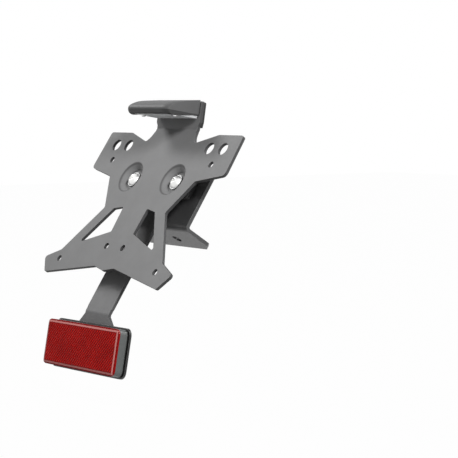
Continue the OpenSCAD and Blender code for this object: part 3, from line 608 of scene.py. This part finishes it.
DOME = [(0.0, -0.00055), (0.0008, -0.00045), (0.0013, -0.00015), (0.0015, 0.0004), (0.0, 0.0004)]
DOME_Y = BOARD_Y - 0.0008
LED_GAP = 0.012
CHIP_X = 0.0062
bm = bmesh.new()
for x in (-LED_GAP, 0.0, LED_GAP):
    lathe(bm, DOME, Matrix.Translation((x, DOME_Y, BOARD_Z)) @ Matrix.Rotation(-math.pi / 2, 4, "X"), 24)
bmesh.ops.remove_doubles(bm, verts=bm.verts, dist=1e-7)
piece("led_domes", bm, FLAP_FRAME, "led_white", True)
bm = bmesh.new()
for x in (-CHIP_X, CHIP_X):
    block(bm, (x - 0.0016, BOARD_Y - 0.0006, BOARD_Z + 0.0035),
          (x + 0.0016, BOARD_Y + 0.0001, BOARD_Z + 0.0052))
piece("board_resistors", bm, FLAP_FRAME, "chip_black")
bm = bmesh.new()
for chip in (-CHIP_X, CHIP_X):
    for x in (chip - 0.0021, chip + 0.0021):
        block(bm, (x - 0.0005, BOARD_Y - 0.0002, BOARD_Z + 0.0034),
              (x + 0.0005, BOARD_Y + 0.0001, BOARD_Z + 0.0053))
piece("board_pads", bm, FLAP_FRAME, "gold_pads")


# ---------------------------------------------------------------- floor, background, lights and camera
def sees_white(nt):
    """1 for the rays that see the white background: the camera's and those that metal and glass send on."""
    path = nt.nodes.new("ShaderNodeLightPath").outputs
    sent_on = maths(nt, "MAXIMUM", path["Is Glossy Ray"], path["Is Transmission Ray"])
    return maths(nt, "MAXIMUM", path["Is Camera Ray"], sent_on)


def mixed_shader(nt, factor, a, b):
    mix = nt.nodes.new("ShaderNodeMixShader")
    link(nt, factor, mix.inputs[0])
    link(nt, a, mix.inputs[1])
    link(nt, b, mix.inputs[2])
    return mix.outputs[0]


FLOOR_SIZE = 6.0
FLOOR_BELOW = 0.02
bpy.ops.mesh.primitive_plane_add(size=FLOOR_SIZE, location=(0.0, 0.0, size_before[0][2] - FLOOR_BELOW))
floor = bpy.context.object
floor.name = "floor"
floor_mat, nt, b = new_mat("floor_white")
b.inputs["Base Color"].default_value = (*grey(0.28), 1.0)
b.inputs["Roughness"].default_value = 0.9
white = nt.nodes.new("ShaderNodeEmission")
white.inputs["Color"].default_value = (1.0, 1.0, 1.0, 1.0)
lit = mixed_shader(nt, maths(nt, "MULTIPLY", sees_white(nt), 0.985), b.outputs[0], white.outputs[0])
link(nt, lit, nt.nodes["Material Output"].inputs["Surface"])
floor.data.materials.append(floor_mat)

# The world is white to the eye, and a dim sky, brighter above and behind the part, to its surfaces
scene.world = bpy.data.worlds.new("studio")
scene.world.use_nodes = True
nt = scene.world.node_tree
nt.nodes.clear()
output = nt.nodes.new("ShaderNodeOutputWorld")
white = nt.nodes.new("ShaderNodeBackground")
white.inputs["Color"].default_value = (1.0, 1.0, 1.0, 1.0)
dim = nt.nodes.new("ShaderNodeBackground")
dim.inputs["Strength"].default_value = 0.12
direction = nt.nodes.new("ShaderNodeTexCoord").outputs["Generated"]
upwards = dot_product(nt, direction, Vector((-0.1, -0.4, 0.9)).normalized())
sky = ramp(nt, maths(nt, "MULTIPLY_ADD", upwards, 0.5, 0.5),
           [(0.0, grey(0.04)), (0.5, grey(0.16)), (0.8, grey(0.8)), (1.0, grey(1.0))])
link(nt, sky, dim.inputs["Color"])
link(nt, mixed_shader(nt, sees_white(nt), dim.outputs[0], white.outputs[0]), output.inputs["Surface"])


def area(name, loc, target, size, power):
    """A square area light that faces a target."""
    light = bpy.data.lights.new(name, "AREA")
    light.shape = "RECTANGLE"
    light.size = light.size_y = size
    light.energy = power
    o = bpy.data.objects.new(name, light)
    scene.collection.objects.link(o)
    o.location = loc
    o.rotation_euler = (Vector(target) - Vector(loc)).to_track_quat("-Z", "Y").to_euler()


area("key", (-1.1, -0.45, 1.0), (0, 0, 0.03), 0.4, 9.5)
area("right", (1.25, -0.3, 0.75), (0, 0, 0), 0.3, 18.5)
area("rear", (0.5, 1.3, 0.9), (0, 0, 0), 0.8, 9.0)

# The camera that was fitted to the plate's holes and outline in the photo
FOCAL_PX = 1602.0
PHOTO_PX = 458.0
SENSOR = 36.0
CAM_RIGHT = (0.59792618, 0.80155117, 0.0)
CAM_UP = (-0.06220208, 0.04640034, 0.99698441)
CAM_BACK = (0.79913402, -0.59612308, 0.07760213)
CAM_AT = (1.06403566, -0.71583773 + ORIGIN[1], 0.05883193 + ORIGIN[2])
lens = bpy.data.cameras.new("camera")
lens.sensor_width = SENSOR
lens.lens = FOCAL_PX * SENSOR / PHOTO_PX
lens.clip_start = 0.05
lens.clip_end = 20.0
camera = bpy.data.objects.new("camera", lens)
scene.collection.objects.link(camera)
camera.matrix_world = Matrix((CAM_RIGHT, CAM_UP, CAM_BACK)).transposed().to_4x4()
camera.matrix_world.translation = CAM_AT
scene.camera = camera
scene.view_settings.view_transform = "Standard"
